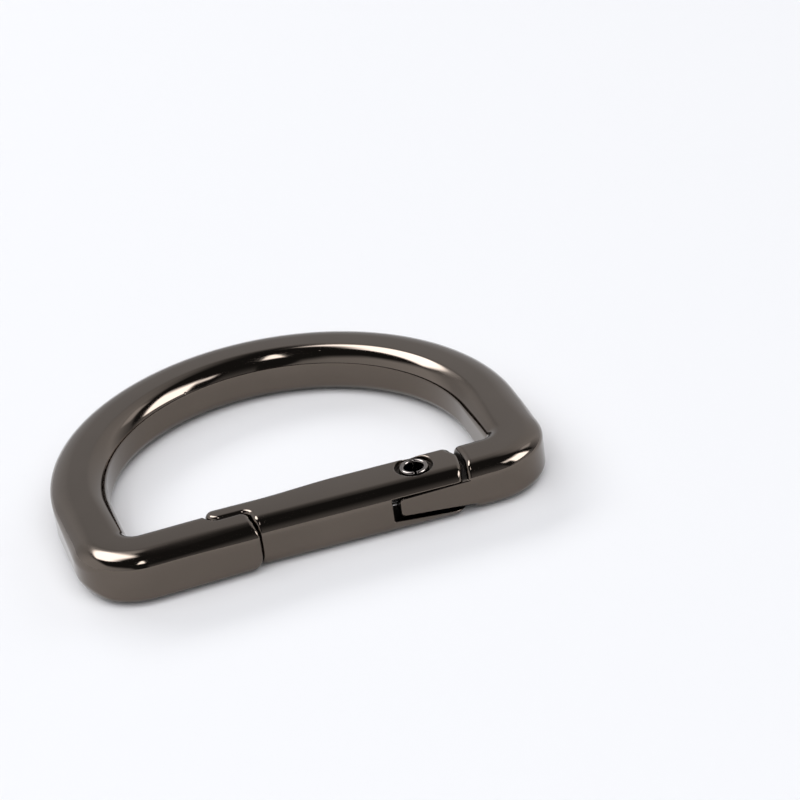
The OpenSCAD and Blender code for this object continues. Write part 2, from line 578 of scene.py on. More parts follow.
@dataclass
class BarCasting(CastPiece):
    """A casting whose main form is a bar.

    The upright edges of its ends change towards its outer side: at the seam they are
    crisper there, and low down they are rounder.
    """

    # How much the radii change, and where: below mid-thickness, towards the outer side and
    # at its face. Over the last stretch, in from the bar's skin, the plating is painted darker
    # as shade and its gloss is duller.
    seam_crisp: float
    low_corner: float
    foot: Span = Span(0.2, 1.3)
    outer_side: Span = Span(2.2, 3.2)
    outer_face: Span = Span(3.2, 3.7)
    bury: Span = Span(0.1, 0.4)

    @abstractmethod
    def bar(self, at: Place) -> Array:
        """Distance to the bar before its ends are cut."""

    def against_bar(self, points: Array) -> Place:
        """Where points lie against the piece's own bar."""
        return self.sizes.local(points)

    def buried(self, points: Array) -> Array:
        """How deep points lie below the bar's skin, from 0 to 1."""
        return self.bury.share(-self.bar(self.against_bar(points)))

    def crisper(self, edge: Array | float, at: Place) -> Array:
        """An upright edge's radius, made smaller near the outer side's face."""
        return edge - self.seam_crisp * self.outer_face.share(-at.y)

    def rounder(self, edge: Array | float, at: Place, foot: Span) -> Array:
        """An upright edge's radius, made larger at the foot of the outer side."""
        return edge + self.low_corner * foot.share(-at.z) * self.outer_side.share(-at.y)


@dataclass
class RingCasting(BarCasting):
    """The D-ring: the arc, two straight sides, the nose, the shoulder and the hinge tongue."""

    name: ClassVar[str] = "ring_casting"
    node: ClassVar[str] = "frame"
    slot: ClassVar[Slot] = Slot.PLATING
    body: ClassVar[Body] = Body.FRAME
    seam_crisp: float = 0.1
    low_corner: float = 0.45
    # The bar's edges where they are fresh and where they are worn, and the stretches between.
    inner_edge: Edge = Edge(1.0, 1.0)
    inner_worn: Edge = Edge(1.2, 1.0, 1.6)
    inner_arc: Span = Span(0, 6)
    outer_edge: Edge = Edge(1.15, 1.0)
    outer_worn: Edge = Edge(1.42, 0.7, 1.9)
    outer_arc: Span = Span(-1.5, 4)
    left_wear: Span = Span(3, 10)
    right_wear: Span = Span(11, 14)
    right_share: float = 0.5
    side_drop: float = 0.6
    side_face: Span = Span(14.5, 16.3)
    side_end: Span = Span(-2, 10)
    # The nose with the lip's seat, and the shoulder behind the gate's heel.
    nose_round: float = 0.55
    nose_edge: float = 0.3
    step_edge: float = 0.14
    step_foot: Span = Span(1.4, 2.1)
    nose_foot: Span = Span(0.4, 1.4)
    nose_top: float = 8.0
    shoulder_edge: float = 0.35
    shoulder_top: float = 4.0
    # The tongue, its barrel and root, and the room for the spring.
    tongue_t: float = 1.5
    tongue_z: float = 0.13
    tongue_round: float = 0.3
    tongue_rim: float = 0.07
    barrel_r: float = 1.75
    barrel_edge: float = 0.1
    lug_gap: float = 0.05
    root_gap: float = 0.15
    root_l: float = 3.0
    spring_floor: float = -0.05
    spring_gap: float = 0.055
    small: float = 0.05
    # The lattice: across and through the bar, then along it from the nose to the hinge.
    depth_runs: Runs = (
        Run(-0.35, -0.05, 0.1),
        Run(-0.05, 1.0, 0.07),
        Run(1.0, 2.75, 0.11),
        Run(2.75, 3.87, 0.07),
        Run(3.87, 4.1, 0.1),
    )
    height_runs: Runs = (Run(0, 0.7, 0.07), Run(0.7, 1.87, 0.07), Run(1.87, 2.05, 0.09))
    nose_run: Run = Run(4.2, 8.0, 0.07)
    left_step: float = 0.35
    corner_turn: float = 4.0
    side_step: float = 0.5
    arc_turn: float = 2.0
    right_step: float = 0.3
    hinge_run: Run = Run(10.2, 4.6, 0.08)

    @property
    def lug_x(self) -> float:
        """Left edge of the tongue on the outer face."""
        return self.sizes.pin_x - self.barrel_r - self.lug_gap

    @property
    def root_x(self) -> float:
        """Where the tongue's root begins, right of the barrel."""
        return self.sizes.pin_x + self.barrel_r + self.root_gap

    def depth(self, at: Place) -> Array:
        """Depth into the ring from its inner edge, seen from above.

        Args:
            at: the places.

        Returns:
            The depth, negative in the ring's opening.
        """
        s = self.sizes
        r = s.corner_in
        right, down = np.abs(at.x) - (s.half_w - r), r - at.y
        corner = np.hypot(np.maximum(right, 0), np.maximum(down, 0))
        low = corner + np.minimum(np.maximum(right, down), 0) - r
        high = np.hypot(at.x, at.y - s.leg_h) - s.half_w
        return np.where(at.y < s.leg_h, low, high)

    def inner(self, at: Place) -> Edge:
        """The inner edges, which are wider and flatter on the arc than on the straight bar."""
        return self.inner_edge.toward(self.inner_worn, self.inner_arc.share(at.y))

    def outer(self, at: Place) -> Edge:
        """The outer edges, worn wide and flat on the arc and corners, and deep on the left side.

        Args:
            at: the places.

        Returns:
            The edge at each place.
        """
        left, right = self.left_wear.share(-at.x), self.right_share * self.right_wear.share(at.x)
        worn = np.maximum(self.outer_arc.share(at.y), np.maximum(left, right))
        edge = self.outer_edge.toward(self.outer_worn, worn)
        side = self.side_face.share(-at.x) * (1 - self.side_end.share(at.y))
        return replace(edge, down=edge.down + self.side_drop * side)

    def bar(self, at: Place) -> Array:
        """Distance to the ring's bar before anything is cut into it."""
        s = self.sizes
        return s.section(self.depth(at), at.z, s.bar_w, self.inner(at), self.outer(at))

    def nose(self, ring: Array, at: Place) -> Array:
        """Cuts the seam and the lip's seat into the ring's left end.

        Args:
            ring: distance to the ring's bar.
            at: the places.

        Returns:
            The distance to what is left.
        """
        s = self.sizes
        tip_x = -(s.seam_x + s.lip_l) - s.seam_gap
        room = meet(tip_x - at.x, s.lip_seat - at.y, s.lip_round + s.seam_gap)
        room = np.maximum(room, at.y - self.nose_top)
        room = join(s.from_pin(at) - s.nose_reach - s.seam_gap, room, self.nose_round)
        edge = self.step_foot.between(self.step_edge, self.nose_edge, -at.y)
        edge = self.rounder(self.crisper(edge, at), at, self.nose_foot)
        return meet(ring, -room, edge)

    def tongue(self, ring: Array, at: Place) -> Array:
        """The plate between the gate's cheeks, with its barrel and the spring's room.

        Args:
            ring: distance to the ring's bar.
            at: the places.

        Returns:
            The distance to the tongue.
        """
        s = self.sizes
        x, y, z = at
        rho = s.from_pin(at)
        underside = self.tongue_z - self.tongue_t / 2 - s.slant * (x - s.pin_x)
        layer = np.maximum(z - self.tongue_z - self.tongue_t / 2, underside - z)
        front = meet(self.lug_x - x, layer, self.tongue_round)
        front = meet(front, -s.bar_w - y, self.tongue_rim)
        front = np.maximum(np.maximum(front, y + s.pin_depth), ring)
        barrel = meet(rho - self.barrel_r, layer, self.barrel_edge)
        root = meet(self.root_x - x, layer, self.barrel_edge)
        root = np.maximum(root, np.maximum(y, -s.bar_w / 2 - y))
        plate = join(np.minimum(front, root), barrel, self.small)
        plate = np.maximum(plate, x - (self.root_x + self.root_l))
        room_y = -s.pin_depth - s.coil_r - s.wire_d / 2 - self.spring_gap
        room = np.maximum(np.maximum(x - self.root_x, room_y - y), self.spring_floor - z)
        plate = meet(plate, -room, self.small)
        return meet(plate, s.pin_d / 2 + s.running_gap - rho, self.small)

    def distance(self, points: Array) -> Array:
        """Distance to the casting's surface.

        Args:
            points: the points.

        Returns:
            Each point's distance, negative inside.
        """
        s = self.sizes
        at = self.against_bar(points)
        ring = self.bar(at)
        heel = np.maximum(s.heel(at) - s.heel_gap, at.y - self.shoulder_top)
        shoulder = meet(ring, -heel, self.rounder(self.shoulder_edge, at, self.foot))
        right = np.minimum(shoulder, self.tongue(ring, at))
        return np.where(at.x < 0, self.nose(ring, at), right)

    def rail(self) -> tuple[Array, Array]:
        """Places along the ring's inner edge, from the nose round to the hinge.

        Returns:
            The places seen from above, and the direction outward at each.
        """
        s = self.sizes
        r = s.corner_in
        flat = s.half_w - r

        def bend(x: float, y: float, radius: float, turn: Run) -> tuple[Array, Array]:
            """A round stretch about a middle, with its turn in degrees."""
            out = np.stack([wave(np.radians(ticks(turn))) for wave in (np.cos, np.sin)], 1)
            return np.array([x, y]) + radius * out, out

        def line(x: Array | float, y: Array | float, *out: float) -> tuple[Array, Array]:
            """A straight stretch, with the direction outward."""
            places = np.stack(np.broadcast_arrays(x, y), 1).astype(float)
            return places, np.tile(np.array(out, float), (len(places), 1))

        left = -ticks(self.nose_run, Run(self.nose_run.end, flat, self.left_step))
        right = ticks(Run(flat, self.hinge_run.start, self.right_step), self.hinge_run)
        side = s.bar_y + ticks(Run(r, s.leg_h, self.side_step))
        *stretches, last = (
            line(left, s.bar_y, 0, -1),
            bend(-flat, s.bar_y + r, r, Run(-90, -180, self.corner_turn)),
            line(-s.half_w, side, -1, 0),
            bend(0, s.bar_y + s.leg_h, s.half_w, Run(180, 0, self.arc_turn)),
            line(s.half_w, side[::-1], 1, 0),
            bend(flat, s.bar_y + r, r, Run(0, -90, self.corner_turn)),
            line(right, s.bar_y, 0, -1),
        )
        places = np.concatenate([place[:-1] for place, _ in stretches] + [last[0]])
        return places, np.concatenate([out[:-1] for _, out in stretches] + [last[1]])

    def lattice(self) -> Array:
        """Lattice points across the bar's section, all along the ring.

        Returns:
            The points, numbered along the ring, across the bar and upward.
        """
        places, out = self.rail()
        depth, z = ticks(*self.depth_runs), self.sizes.layers(self.height_runs)
        across = places[:, None] + depth[None, :, None] * out[:, None]
        nodes = np.empty((len(places), len(depth), len(z), 3))
        nodes[..., :2] = across[:, :, None]
        nodes[..., 2] = z
        return nodes


@dataclass
class GateCasting(BarCasting):
    """The sprung gate: a straight bar with a lip at one end and a fork at the other."""

    name: ClassVar[str] = "gate_casting"
    node: ClassVar[str] = "gate"
    slot: ClassVar[Slot] = Slot.PLATING
    body: ClassVar[Body] = Body.GATE
    seam_crisp: float = 0.12
    low_corner: float = 0.35
    # The bar's edges, of which the inner ones are rounder towards the lip.
    outer: Edge = Edge(1.12, 1.0)
    inner_edge: float = 0.42
    inner_worn: float = 0.85
    inner_wear: Span = Span(-1.8, 4.0)
    # The upright edges at the seam and the lip, and at the heel.
    seam_edge: float = 0.32
    lip_edge: float = 0.5
    lip_side: Span = Span(-1.3, -0.5)
    lip_fillet: float = 0.45
    heel_edge: float = 0.25
    heel_corner: float = 0.7
    heel_side: Span = Span(-1.6, -0.6)
    # The fork's slot, the sinks round the pin, the pin's holes and the spring's blind hole.
    slot_edge: float = 0.08
    slot_end: float = 0.06
    sink_d: float = 2.56
    sink_h: float = 0.35
    sink_edge: float = 0.09
    hole_edge: float = 0.03
    leg_hole_r: float = 0.2
    leg_hole_l: float = 3.07
    # The lattice: along the bar, across it and through it.
    x_runs: Runs = (Run(-7.7, -4.2, 0.07), Run(-4.2, 3.3, 0.4), Run(3.3, 9.9, 0.075))
    y_runs: Runs = (Run(-4.05, -2.75, 0.07), Run(-2.75, -0.7, 0.09), Run(-0.7, 0.1, 0.07))
    height_runs: Runs = (Run(0, 0.7, 0.08), Run(0.7, 1.87, 0.065), Run(1.87, 2.0, 0.065))

    def turned(self, points: Array, angle: float) -> Array:
        """Turns points about the hinge's axis.

        Args:
            points: the points.
            angle: the angle in radians, from +X towards +Y.

        Returns:
            The turned points.
        """
        s = self.sizes
        c, d = math.cos(angle), math.sin(angle)
        dx, dy = points[..., 0] - s.pin_x, points[..., 1] - s.pin_y
        turned = points.copy()
        turned[..., 0] = s.pin_x + c * dx - d * dy
        turned[..., 1] = s.pin_y + d * dx + c * dy
        return turned

    def against_bar(self, points: Array) -> Place:
        """Where points lie against the gate's bar, which leans a little on the nose."""
        return self.sizes.local(self.turned(points, self.sizes.gate_rest))

    def bar(self, at: Place) -> Array:
        """Distance to the gate's bar before its ends are cut.

        Args:
            at: the places.

        Returns:
            The distance, negative inside.
        """
        s = self.sizes
        depth = -at.y - (s.bar_w - s.gate_w)
        r_in = self.inner_wear.between(self.inner_edge, self.inner_worn, -at.x)
        return s.section(depth, at.z, s.gate_w, Edge(r_in, r_in), self.outer)

    def with_ends(self, at: Place) -> Array:
        """Cuts the bar to its lip and heel.

        Args:
            at: the places.

        Returns:
            The distance, negative inside.
        """
        s = self.sizes
        lip_y = -s.bar_w + s.gate_w - s.lip_w
        lip = meet(-(s.seam_x + s.lip_l) - at.x, lip_y - at.y, s.lip_round)
        end = join(s.from_pin(at) - s.nose_reach, lip, self.lip_fillet)
        left = self.crisper(self.lip_side.between(self.seam_edge, self.lip_edge, at.y), at)
        right = self.heel_side.between(self.heel_edge, self.heel_corner, at.y)
        right = self.rounder(right, at, self.foot)
        return meet(meet(self.bar(at), end, left), s.heel(at), right)

    def distance(self, points: Array) -> Array:
        """Distance to the surface of the closed gate, with its slot, sinks and holes.

        Args:
            points: the points.

        Returns:
            Each point's distance, negative inside.
        """
        s = self.sizes
        at = self.against_bar(points)
        rho = s.from_pin(at)
        floor = -s.slot_t / 2 - s.slant * (at.x - s.pin_x)
        layer = np.maximum(at.z - s.slot_t / 2, floor - at.z)
        fork = meet(s.pin_x - s.slot_back - at.x, layer, self.slot_end)
        body = meet(self.with_ends(at), -fork, self.slot_edge)
        sink = np.maximum(rho - self.sink_d / 2, s.half_t - self.sink_h - np.abs(at.z))
        body = meet(body, -sink, self.sink_edge)
        body = meet(body, s.pin_d / 2 + s.seat_gap - rho, self.hole_edge)
        x, y, z = s.local(points)
        half_l = self.leg_hole_l / 2
        leg_hole = np.hypot(y + s.pin_depth + s.coil_r, z - s.wire_low_z) - self.leg_hole_r
        leg_hole = np.maximum(leg_hole, np.abs(x - s.pin_x + half_l) - half_l)
        return meet(body, -leg_hole, self.hole_edge)

    def lattice(self) -> Array:
        """Lattice points along the straight bar, turned to where the gate rests.

        Returns:
            The points, numbered along the bar, across it and upward.
        """
        s = self.sizes
        x, y = ticks(*self.x_runs), s.bar_y + ticks(*self.y_runs)
        nodes = np.stack(np.meshgrid(x, y, s.layers(self.height_runs), indexing="ij"), -1)
        return self.turned(nodes, -s.gate_rest)


@dataclass
class RollPin(CastPiece):
    """The hollow slit pin through the gate's cheeks and the tongue."""

    name: ClassVar[str] = "roll_pin"
    node: ClassVar[str] = "hinge_pin"
    slot: ClassVar[Slot] = Slot.PIN
    body: ClassVar[Body] = Body.GATE
    bore_d: float = 1.3
    bore_edge: float = 0.02
    slit: float = 0.16
    slit_angle: float = -100.0
    slit_edge: float = 0.05
    rim: float = 0.16
    short: float = 0.02
    # The lattice: round from slit to slit in degrees, outward and upward.
    turn_runs: Runs = (Run(0, 12, 1.5), Run(12, 348, 4), Run(348, 360, 1.5))
    radius_runs: Runs = (Run(0.56, 1.07, 0.04),)
    height_runs: Runs = (Run(0, 1.4, 0.28), Run(1.4, 1.88, 0.04))

    def distance(self, points: Array) -> Array:
        """Distance to the pin's surface.

        Args:
            points: the points.

        Returns:
            Each point's distance, negative inside.
        """
        s = self.sizes
        at = s.local(points)
        rho = s.from_pin(at)
        wall = meet(rho - s.pin_d / 2, self.bore_d / 2 - rho, self.bore_edge)
        tube = meet(wall, np.abs(at.z) - (s.half_t - self.short), self.rim)
        a = math.radians(self.slit_angle)
        dx, dy = at.x - s.pin_x, at.y + s.pin_depth
        along = dx * math.cos(a) + dy * math.sin(a)
        across = dy * math.cos(a) - dx * math.sin(a)
        slit = np.maximum(np.abs(across) - self.slit / 2, -along)
        return meet(tube, -slit, self.slit_edge)

    def lattice(self) -> Array:
        """Lattice points round the pin, from its slit back to its slit.

        Returns:
            The points, numbered round the pin, outward and upward.
        """
        s = self.sizes
        angle = np.radians(ticks(*self.turn_runs) + self.slit_angle)[:, None, None]
        radius = ticks(*self.radius_runs)[None, :, None]
        x, y = s.pin_x + radius * np.cos(angle), s.pin_y + radius * np.sin(angle)
        return np.stack(np.broadcast_arrays(x, y, s.layers(self.height_runs)), -1)


@dataclass
class TorsionSpring(Piece):
    """The wire spring round the pin, with one leg in the gate and one on the tongue."""

    name: ClassVar[str] = "torsion_spring"
    node: ClassVar[str] = "gate_spring"
    slot: ClassVar[Slot] = Slot.SPRING
    turns: int = 2
    pitch: float = 0.27
    gate_leg: float = 2.82
    tongue_leg: float = 1.8
    # How far the twist stops short of the slot's end and of the tongue leg's end.
    gate_hold: float = 0.02
    tongue_hold: float = 0.05
    # How finely the wire is made: round it, along each turn and along each leg.
    sides: int = 16
    steps: int = 48
    gate_leg_steps: int = 7
    tongue_leg_steps: int = 5

    @property
    def low_z(self) -> float:
        """Height of the lower leg above the floor."""
        return self.sizes.half_t + self.sizes.wire_low_z

    def centre_line(self) -> tuple[Array, Array]:
        """Works out the wire's middle line: a leg, the coil and the other leg.

        Returns:
            The places along it, and the angle of the outward direction at each.
        """
        s = self.sizes
        turn = np.arange(self.turns * self.steps + 1) / self.steps
        angle = np.radians(360 * turn - 90)
        x, y = s.pin_x + s.coil_r * np.cos(angle), s.pin_y + s.coil_r * np.sin(angle)
        coil = np.stack([x, y, self.low_z + self.pitch * turn], 1)
        left = np.linspace(-self.gate_leg, 0, self.gate_leg_steps + 1)[:-1, None] * [1, 0, 0]
        right = np.linspace(0, self.tongue_leg, self.tongue_leg_steps + 1)[1:, None] * [1, 0, 0]
        down = -math.pi / 2
        facing = np.concatenate([np.full(len(left), down), angle, np.full(len(right), down)])
        return np.concatenate([left + coil[0], coil, right + coil[-1]]), facing

    def mesh(self) -> bpy.types.Mesh:
        """Sweeps a round wire along the centre line and closes its ends.

        Returns:
            The mesh.
        """
        line, facing = self.centre_line()
        around = np.linspace(0, 2 * math.pi, self.sides, endpoint=False)[None, :, None]
        out = np.stack([np.cos(facing), np.sin(facing), np.zeros_like(facing)], 1)[:, None]
        radius = self.sizes.wire_d / 2
        rings = line[:, None] + radius * np.cos(around) * out + radius * np.sin(around) * [0, 0, 1]
        n, m = rings.shape[:2]
        walls = [
            (i * m + j, i * m + (j + 1) % m, (i + 1) * m + (j + 1) % m, (i + 1) * m + j)
            for i in range(n - 1)
            for j in range(m)
        ]
        caps = [tuple(range(m))[::-1], tuple(range((n - 1) * m, n * m))]
        mesh = bpy.data.meshes.new(self.name)
        mesh.from_pydata((rings.reshape(-1, 3) * MM).tolist(), [], walls + caps)
        mesh.shade_smooth()
        return mesh

    def hold(self, piece: bpy.types.Object) -> None:
        """Bakes the spring's place into its mesh, where it stays.

        Args:
            piece: the spring's object.
        """
        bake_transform(piece)


class NodeBoard:
    """Places and links the nodes of one material or world."""

    def __init__(self, tree: bpy.types.NodeTree) -> None:
        """Starts on an empty tree."""
        self.tree = tree
        tree.nodes.clear()

    def add(self, kind: str, inputs: dict | None = None, **settings: object) -> bpy.types.Node:
        """Adds a node.

        Args:
            kind: the node's type, without the word ShaderNode.
            inputs: a value, or another node's output, for each named or numbered input.
            settings: the node's own settings.

        Returns:
            The new node.
        """
        node = self.tree.nodes.new("ShaderNode" + kind)
        for name, value in settings.items():
            setattr(node, name, value)
        for name, value in (inputs or {}).items():
            if isinstance(value, Socket):
                self.tree.links.new(value, node.inputs[name])
            else:
                node.inputs[name].default_value = value
        return node

    def math(self, operation: str, *values: Socket | float) -> Socket:
        """Adds a calculation, and gives its result."""
        return self.add("Math", dict(enumerate(values)), operation=operation).outputs[0]

    def noise(self, place: Socket, scale: float, detail: float, rough: float = 0.5) -> Socket:
        """Adds noise, and gives its height."""
        inputs = {"Vector": place, "Scale": scale, "Detail": detail, "Roughness": rough}
        return self.add("TexNoise", inputs).outputs["Fac"]

    def bump(self, height: Socket, depth: float, base: dict[str, Socket] | None = None) -> Socket:
        """Adds relief of a depth in millimetres, and gives the surface's new direction."""
        inputs = {"Strength": 1.0, "Distance": depth * MM, "Height": height, **(base or {})}
        return self.add("Bump", inputs).outputs["Normal"]

    def mix(self, share: Socket, first: tuple | Socket, second: tuple | Socket) -> Socket:
        """Adds a mix of two colours, and gives its result."""
        inputs = {0: share, 6: first, 7: second}
        return self.add("Mix", inputs, data_type="RGBA").outputs[2]

    def either(self, share: Socket, first: Socket, second: Socket) -> Socket:
        """Adds a mix of two shaders, and gives its result."""
        return self.add("MixShader", {0: share, 1: first, 2: second}).outputs[0]

    def remap(
        self,
        value: Socket,
        low: Socket | float,
        high: Socket | float,
        first: Socket | float = 0.0,
        last: Socket | float = 1.0,
        smooth: bool = False,
    ) -> Socket:
        """Adds a change of range.

        Args:
            value: what is changed.
            low: the value that becomes first.
            high: the value that becomes last.
            first: the result at low and below.
            last: the result at high and above.
            smooth: whether the change is a smooth step, not a straight one.

        Returns:
            The result.
        """
        inputs = {"Value": value, "From Min": low, "From Max": high}
        inputs |= {"To Min": first, "To Max": last}
        kind = "SMOOTHSTEP" if smooth else "LINEAR"
        return self.add("MapRange", inputs, interpolation_type=kind).outputs["Result"]

    def ramp(self, factor: Socket, *stops: tuple[float, float]) -> Socket:
        """Adds a grey ramp.

        Args:
            factor: what drives it, from 0 to 1.
            stops: place and brightness of each stop.

        Returns:
            The ramp's grey.
        """
        node = self.add("ValToRGB", {0: factor})
        elements = node.color_ramp.elements
        while len(elements) < len(stops):
            elements.new(0.5)
        for element, (place, grey) in zip(elements, stops):
            element.position = place
            element.color = (grey, grey, grey, 1)
        return node.outputs["Color"]


@dataclass(frozen=True)
class Metal(ABC):
    """A metal finish."""

    name: str
    tint: Colour
    roughness: float

    def toned(self, tone: float) -> tuple[float, ...]:
        """The metal's own colour, made darker or lighter."""
        return (*(tone * c for c in self.tint), 1)

    @abstractmethod
    def surface(self, board: NodeBoard, place: Socket) -> dict[str, Socket]:
        """Adds the surface's nodes, and gives the inputs of the metal's shader."""

    def material(self) -> bpy.types.Material:
        """Makes the material.

        Returns:
            The material.
        """
        material = bpy.data.materials.new(self.name)
        material.use_nodes = True
        board = NodeBoard(material.node_tree)
        place = board.add("TexCoord").outputs["Object"]
        shader = board.add("BsdfPrincipled", {"Metallic": 1.0, **self.surface(board, place)})
        board.add("OutputMaterial", {"Surface": shader.outputs["BSDF"]})
        return material


@dataclass(frozen=True)
class BrightPlating(Metal):
    """Bright plating over a polished casting.

    The casting's slow waves bend the reflections a little, handling leaves faint smears
    that change the gloss, and a few tiny pits stay under the plating. Down in the seams
    and the slot the colour is darkened as painted shade and the gloss is duller. Heights
    and lengths are in millimetres, the scales of the tones and the smears are in waves per
    metre, and the pits' floor and rim are shares of their spacing.
    """

    smear: float
    wave_height: float
    wave_length: float
    pit_depth: float
    pit_spacing: float
    dim: float = 0.93
    lit: float = 1.07
    tone_scale: float = 260.0
    smear_scale: float = 700.0
    smear_low: float = 0.3
    smear_high: float = 0.75
    pit_floor: float = 0.02
    pit_rim: float = 0.06
    # The painted shade down in the seams and the slot, as a share of the tint.
    recess_painted_shade: float = 0.15
    buried_dull: float = 0.3

    def surface(self, board: NodeBoard, place: Socket) -> dict[str, Socket]:
        """Adds the plating's colour, gloss, waves and pits.

        Args:
            board: where the nodes go.
            place: the place on the object.

        Returns:
            The inputs of the metal's shader.
        """
        tones = board.noise(place, self.tone_scale, detail=3)
        colour = board.mix(tones, self.toned(self.dim), self.toned(self.lit))
        recess = board.add("Attribute", attribute_name=RECESS).outputs["Fac"]
        # Painted shade: the colour darkens almost to black down in the seams and the slot.
        colour = board.mix(recess, colour, self.toned(self.recess_painted_shade))
        smears = board.noise(place, self.smear_scale, detail=5, rough=0.65)
        least, most = self.roughness - self.smear, self.roughness + self.smear
        gloss = board.remap(smears, self.smear_low, self.smear_high, least, most)
        dull = board.math("MULTIPLY_ADD", recess, self.buried_dull, gloss)
        waves = board.noise(place, 1 / (self.wave_length * MM), detail=1)
        wavy = board.bump(waves, self.wave_height)
        cells = {"Vector": place, "Scale": 1 / (self.pit_spacing * MM)}
        pits = board.add("TexVoronoi", cells, feature="F1").outputs["Distance"]
        dents = board.remap(pits, self.pit_floor, self.pit_rim, smooth=True)
        pitted = board.bump(dents, self.pit_depth, {"Normal": wavy})
        return {"Base Color": colour, "Roughness": dull, "Normal": pitted}


@dataclass(frozen=True)
class DrawnWire(Metal):
    """Bright drawn spring wire, with a fine grain in its colour and its gloss."""

    dim: float = 0.8
    lit: float = 1.15
    grain_scale: float = 9000.0
    grain_gloss: float = 0.1

    def surface(self, board: NodeBoard, place: Socket) -> dict[str, Socket]:
        """Adds the wire's grain.

        Args:
            board: where the nodes go.
            place: the place on the object.

        Returns:
            The inputs of the metal's shader.
        """
        grain = board.noise(place, self.grain_scale, detail=2)
        least, most = self.roughness - self.grain_gloss, self.roughness + self.grain_gloss
        colour = board.mix(grain, self.toned(self.dim), self.toned(self.lit))
        return {"Base Color": colour, "Roughness": board.remap(grain, 0.0, 1.0, least, most)}


def towards(azimuth: float, elevation: float) -> Vector:
    """The direction at an azimuth from +Y towards +X and a height, both in degrees."""
    a, e = math.radians(azimuth), math.radians(elevation)
    return Vector((math.sin(a) * math.cos(e), math.cos(a) * math.cos(e), math.sin(e)))


@dataclass(frozen=True)
class SoftBox:
    """A lit rectangle that faces the hook and lights the floor round it.

    Sizes are angles as the hook sees them, in degrees, and the distance is in metres. Its
    brightness is set against the white of the walls. The plating doesn't mirror it: the
    panels stand in for it there.
    """

    name: str
    azimuth: float
    elevation: float
    width: float
    height: float
    brightness: float
    distance: float = 0.7

    def build(self) -> None:
        """Makes the light."""
        light = bpy.data.lights.new(self.name, "AREA")
        light.shape = "RECTANGLE"
        light.size = 2 * self.distance * math.tan(math.radians(self.width / 2))
        light.size_y = 2 * self.distance * math.tan(math.radians(self.height / 2))
        light.energy = self.brightness * math.pi * light.size * light.size_y
        box = show(self.name, light)
        out = towards(self.azimuth, self.elevation)
        turn = out.to_track_quat("Z", "Y").to_matrix().to_4x4()
        box.matrix_world = Matrix.Translation(out * self.distance) @ turn
        box.visible_camera = False
        box.visible_glossy = False


@dataclass(frozen=True)
class Panel:
    """A bright panel with soft edges that the metal mirrors, as angles in degrees.

    Its brightness is set against the white of the walls.
    """

    azimuth: float
    elevation: float
    width: float
    height: float
    brightness: float
    side_soft: float = 3.0
    low_soft: float = 3.0
    top_soft: float = 3.0

    def glow(self, board: NodeBoard, angle: Socket, height: Socket) -> Socket:
        """Adds the panel's nodes.

        Args:
            board: where the nodes go.
            angle: azimuth of the direction, in radians.
            height: its elevation, in radians.

        Returns:
            The panel's brightness in that direction.
        """

        def share(value: Socket, limit: float, soft: float, full: float = 1.0) -> Socket:
            """How much of the glow one of the panel's soft edges lets through."""
            low, high = math.radians(limit - soft), math.radians(limit + soft)
            return board.remap(value, low, high, last=full, smooth=True)

        turned = board.math("SUBTRACT", angle, math.radians(self.azimuth))
        aside = board.math("ABSOLUTE", board.math("WRAP", turned, math.pi, -math.pi))
        low, top = self.elevation - self.height / 2, self.elevation + self.height / 2
        glow = share(aside, self.width / 2, -self.side_soft, self.brightness)
        glow = board.math("MULTIPLY", glow, share(height, low, self.low_soft))
        return board.math("MULTIPLY", glow, share(height, top, -self.top_soft))


@dataclass(frozen=True)
class WallStop:
    """How the room's wall looks at one azimuth: its top, that edge's softness and its tone."""

    azimuth: float
    top: float
    soft: float
    tone: float


